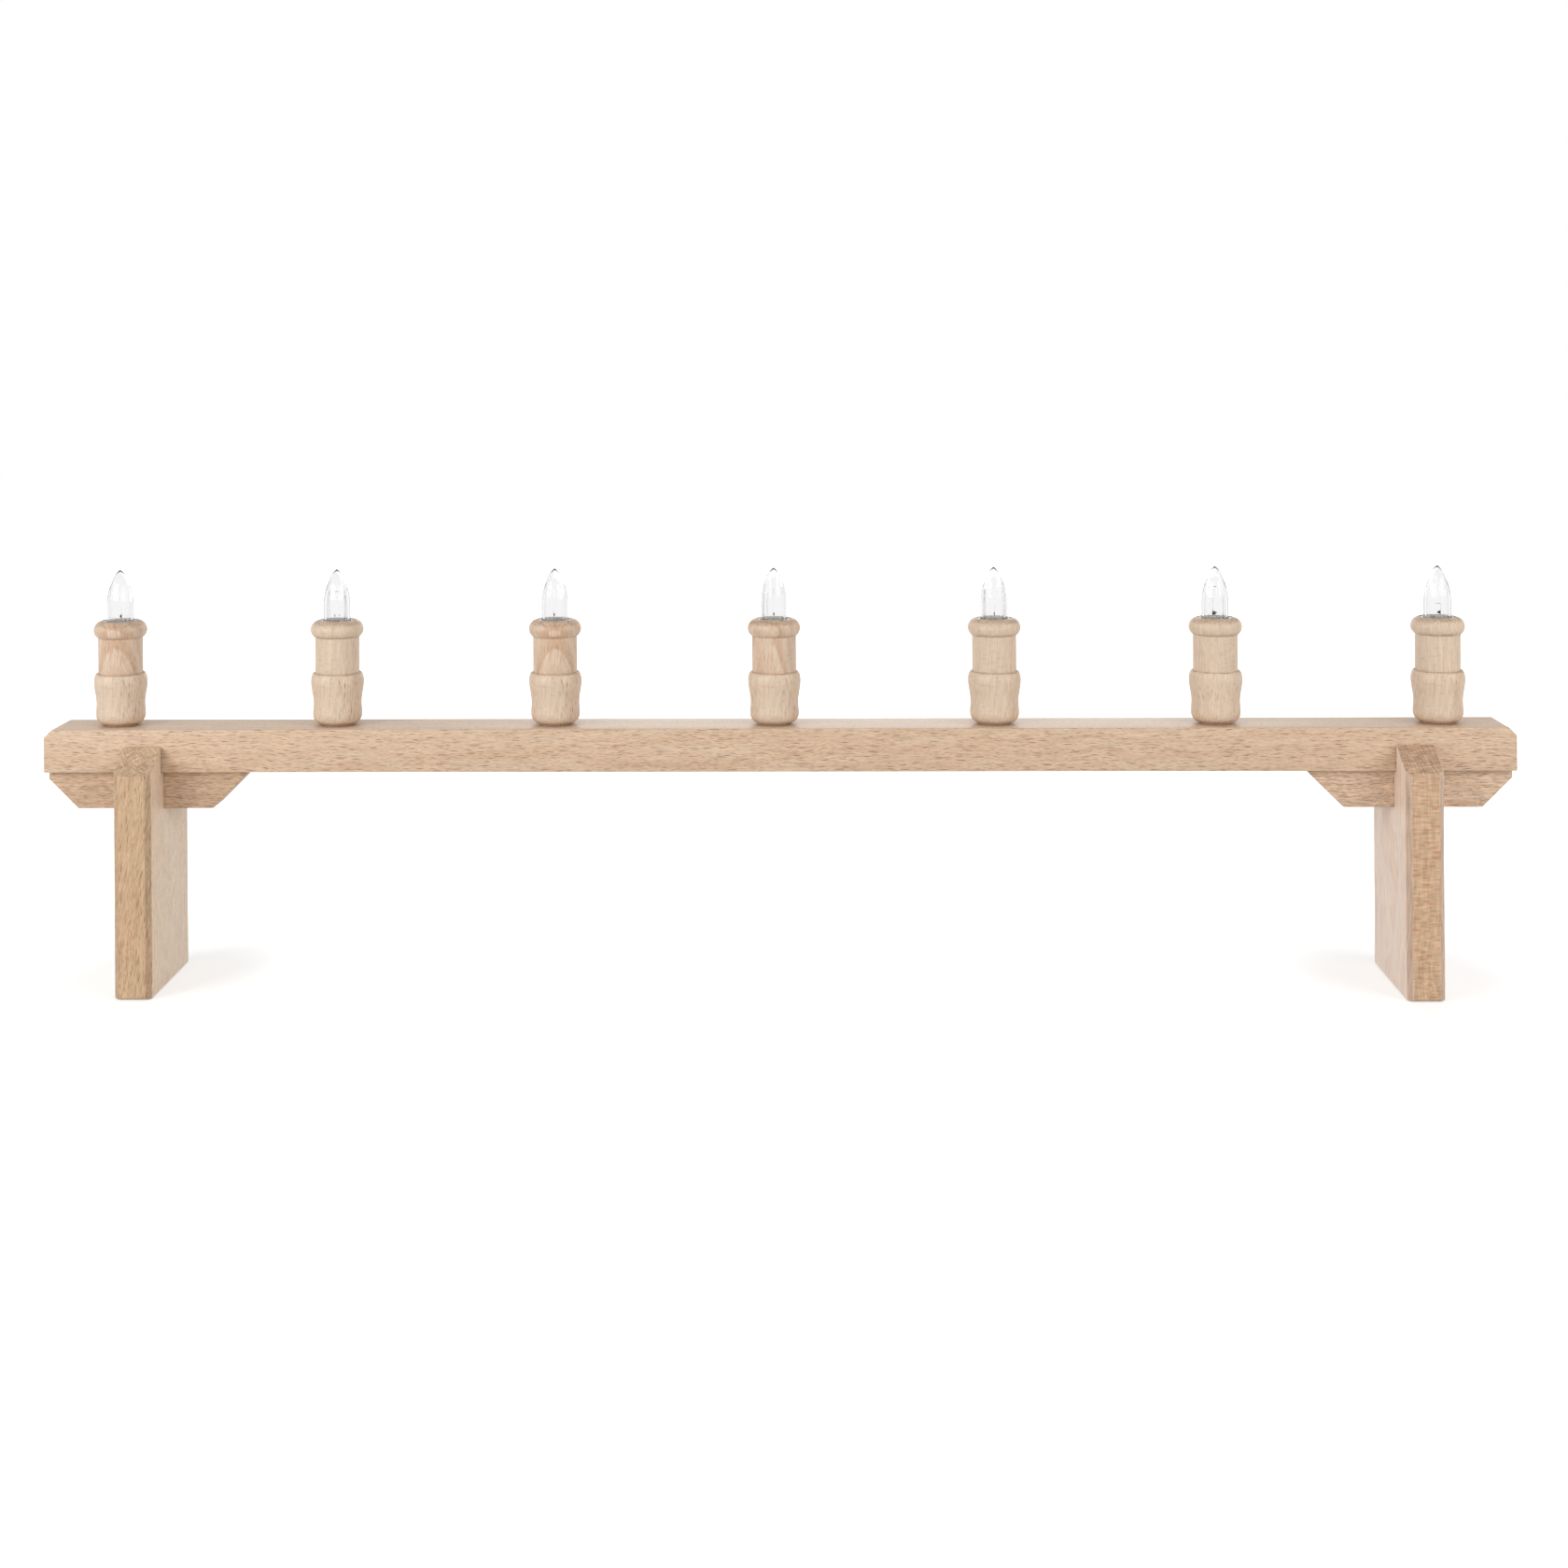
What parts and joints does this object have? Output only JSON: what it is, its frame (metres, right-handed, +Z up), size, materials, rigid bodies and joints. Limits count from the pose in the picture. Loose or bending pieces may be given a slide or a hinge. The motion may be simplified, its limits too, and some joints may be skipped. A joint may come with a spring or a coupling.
{
  "type": "wooden candle bar",
  "caption": "Straight wooden bar on forked legs, carrying a row of turned wooden candles, each with a small clear lamp that screws into a lampholder.",
  "frame": {"origin": "on the surface that the legs stand on, under the middle of the bar", "axes": "+X along the bar to the right, the front towards -Y, +Z up"},
  "size_m": [0.7, 0.07, 0.1989],
  "materials": {
    "bar_wood": "matte",
    "leg_wood": "matte",
    "bracket_wood": "matte",
    "turned_wood": "matte",
    "cover_wood": "matte",
    "holder_plastic": "matte",
    "contact_solder": "satin",
    "cap_metal": "satin",
    "lead_wire": "satin",
    "clear_glass": "gloss",
    "wire_cover": "matte"
  },
  "bodies": {
    "frame": {"bar": "bar_wood", "groove_cover": "cover_wood", "wiring_harness": "wire_cover", "left_leg": "leg_wood", "left_bracket": "bracket_wood", "right_leg": "leg_wood", "right_bracket": "bracket_wood", "candle_1_cup": "turned_wood", "candle_1_sleeve": "turned_wood", "candle_1_lampholder": "holder_plastic", "candle_2_cup": "turned_wood", "candle_2_sleeve": "turned_wood", "candle_2_lampholder": "holder_plastic", "candle_3_cup": "turned_wood", "candle_3_sleeve": "turned_wood", "candle_3_lampholder": "holder_plastic", "candle_4_cup": "turned_wood", "candle_4_sleeve": "turned_wood", "candle_4_lampholder": "holder_plastic", "candle_5_cup": "turned_wood", "candle_5_sleeve": "turned_wood", "candle_5_lampholder": "holder_plastic", "candle_6_cup": "turned_wood", "candle_6_sleeve": "turned_wood", "candle_6_lampholder": "holder_plastic", "candle_7_cup": "turned_wood", "candle_7_sleeve": "turned_wood", "candle_7_lampholder": "holder_plastic"},
    "lamp_1_foot": {"lamp_1_contact": "contact_solder"},
    "lamp_1_bulb": {"lamp_1_cap": "cap_metal", "lamp_1_filament": "lead_wire", "lamp_1_glass": "clear_glass"},
    "lamp_2_foot": {"lamp_2_contact": "contact_solder"},
    "lamp_2_bulb": {"lamp_2_cap": "cap_metal", "lamp_2_filament": "lead_wire", "lamp_2_glass": "clear_glass"},
    "lamp_3_foot": {"lamp_3_contact": "contact_solder"},
    "lamp_3_bulb": {"lamp_3_cap": "cap_metal", "lamp_3_filament": "lead_wire", "lamp_3_glass": "clear_glass"},
    "lamp_4_foot": {"lamp_4_contact": "contact_solder"},
    "lamp_4_bulb": {"lamp_4_cap": "cap_metal", "lamp_4_filament": "lead_wire", "lamp_4_glass": "clear_glass"},
    "lamp_5_foot": {"lamp_5_contact": "contact_solder"},
    "lamp_5_bulb": {"lamp_5_cap": "cap_metal", "lamp_5_filament": "lead_wire", "lamp_5_glass": "clear_glass"},
    "lamp_6_foot": {"lamp_6_contact": "contact_solder"},
    "lamp_6_bulb": {"lamp_6_cap": "cap_metal", "lamp_6_filament": "lead_wire", "lamp_6_glass": "clear_glass"},
    "lamp_7_foot": {"lamp_7_contact": "contact_solder"},
    "lamp_7_bulb": {"lamp_7_cap": "cap_metal", "lamp_7_filament": "lead_wire", "lamp_7_glass": "clear_glass"}
  },
  "joints": [
    {"name": "lamp_1_rise", "type": "slide", "parent": "frame", "child": "lamp_1_foot", "axis": [0, 0, 1], "range_m": [0, 0.00545]},
    {"name": "lamp_1_turn", "type": "hinge", "parent": "lamp_1_foot", "child": "lamp_1_bulb", "pos_m": [-0.3168, 0, 0.124], "axis": [0, 0, 1], "range_deg": [0, 1080]},
    {"name": "lamp_2_rise", "type": "slide", "parent": "frame", "child": "lamp_2_foot", "axis": [0, 0, 1], "range_m": [0, 0.00545]},
    {"name": "lamp_2_turn", "type": "hinge", "parent": "lamp_2_foot", "child": "lamp_2_bulb", "pos_m": [-0.2112, 0, 0.124], "axis": [0, 0, 1], "range_deg": [0, 1080]},
    {"name": "lamp_3_rise", "type": "slide", "parent": "frame", "child": "lamp_3_foot", "axis": [0, 0, 1], "range_m": [0, 0.00545]},
    {"name": "lamp_3_turn", "type": "hinge", "parent": "lamp_3_foot", "child": "lamp_3_bulb", "pos_m": [-0.1056, 0, 0.124], "axis": [0, 0, 1], "range_deg": [0, 1080]},
    {"name": "lamp_4_rise", "type": "slide", "parent": "frame", "child": "lamp_4_foot", "axis": [0, 0, 1], "range_m": [0, 0.00545]},
    {"name": "lamp_4_turn", "type": "hinge", "parent": "lamp_4_foot", "child": "lamp_4_bulb", "pos_m": [0, 0, 0.124], "axis": [0, 0, 1], "range_deg": [0, 1080]},
    {"name": "lamp_5_rise", "type": "slide", "parent": "frame", "child": "lamp_5_foot", "axis": [0, 0, 1], "range_m": [0, 0.00545]},
    {"name": "lamp_5_turn", "type": "hinge", "parent": "lamp_5_foot", "child": "lamp_5_bulb", "pos_m": [0.1056, 0, 0.124], "axis": [0, 0, 1], "range_deg": [0, 1080]},
    {"name": "lamp_6_rise", "type": "slide", "parent": "frame", "child": "lamp_6_foot", "axis": [0, 0, 1], "range_m": [0, 0.00545]},
    {"name": "lamp_6_turn", "type": "hinge", "parent": "lamp_6_foot", "child": "lamp_6_bulb", "pos_m": [0.2112, 0, 0.124], "axis": [0, 0, 1], "range_deg": [0, 1080]},
    {"name": "lamp_7_rise", "type": "slide", "parent": "frame", "child": "lamp_7_foot", "axis": [0, 0, 1], "range_m": [0, 0.00545]},
    {"name": "lamp_7_turn", "type": "hinge", "parent": "lamp_7_foot", "child": "lamp_7_bulb", "pos_m": [0.3168, 0, 0.124], "axis": [0, 0, 1], "range_deg": [0, 1080]}
  ],
  "couplings": [
    {"joint": "lamp_1_rise", "follows": "lamp_1_turn", "m_per_rad": 0.00028871},
    {"joint": "lamp_2_rise", "follows": "lamp_2_turn", "m_per_rad": 0.00028871},
    {"joint": "lamp_3_rise", "follows": "lamp_3_turn", "m_per_rad": 0.00028871},
    {"joint": "lamp_4_rise", "follows": "lamp_4_turn", "m_per_rad": 0.00028871},
    {"joint": "lamp_5_rise", "follows": "lamp_5_turn", "m_per_rad": 0.00028871},
    {"joint": "lamp_6_rise", "follows": "lamp_6_turn", "m_per_rad": 0.00028871},
    {"joint": "lamp_7_rise", "follows": "lamp_7_turn", "m_per_rad": 0.00028871}
  ]
}
